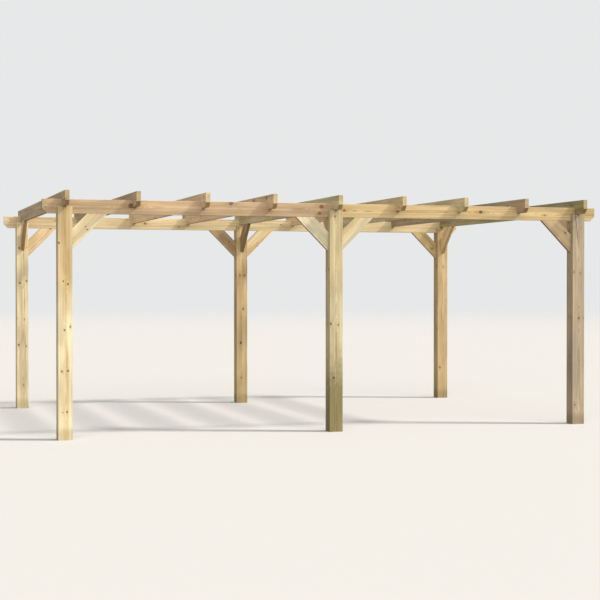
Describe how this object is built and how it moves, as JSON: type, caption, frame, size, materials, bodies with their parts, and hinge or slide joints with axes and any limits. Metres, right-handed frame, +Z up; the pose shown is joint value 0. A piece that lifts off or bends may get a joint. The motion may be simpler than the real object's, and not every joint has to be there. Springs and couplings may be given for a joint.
{
  "type": "wooden pergola",
  "caption": "Free-standing timber pergola: square posts with slotted heads carry two long beams, notched rafters and corner braces.",
  "frame": {"origin": "middle of the plan at ground level", "axes": "+X along the beams, to the right seen from the front; +Y from the front row of posts to the back row; +Z up"},
  "size_m": [6.165, 4.34, 2.5],
  "materials": {
    "post_timber": "planed, pressure-treated softwood",
    "beam_timber": "planed, pressure-treated softwood",
    "rafter_timber": "planed, pressure-treated softwood",
    "brace_timber": "planed, pressure-treated softwood"
  },
  "bodies": {
    "root": {"post_front_left": "post_timber", "post_front_middle": "post_timber", "post_front_right": "post_timber", "post_back_left": "post_timber", "post_back_middle": "post_timber", "post_back_right": "post_timber", "beam_front_left": "beam_timber", "beam_front_right": "beam_timber", "beam_back_left": "beam_timber", "beam_back_right": "beam_timber", "rafter_1": "rafter_timber", "rafter_2": "rafter_timber", "rafter_3": "rafter_timber", "rafter_4": "rafter_timber", "rafter_5": "rafter_timber", "rafter_6": "rafter_timber", "rafter_7": "rafter_timber", "rafter_8": "rafter_timber", "rafter_9": "rafter_timber", "brace_front_left": "brace_timber", "brace_front_middle_left": "brace_timber", "brace_front_middle_right": "brace_timber", "brace_front_right": "brace_timber", "brace_back_left": "brace_timber", "brace_back_middle_left": "brace_timber", "brace_back_middle_right": "brace_timber", "brace_back_right": "brace_timber", "cross_brace_front_left": "brace_timber", "cross_brace_front_middle": "brace_timber", "cross_brace_front_right": "brace_timber", "cross_brace_back_left": "brace_timber", "cross_brace_back_middle": "brace_timber", "cross_brace_back_right": "brace_timber"}
  },
  "joints": []
}
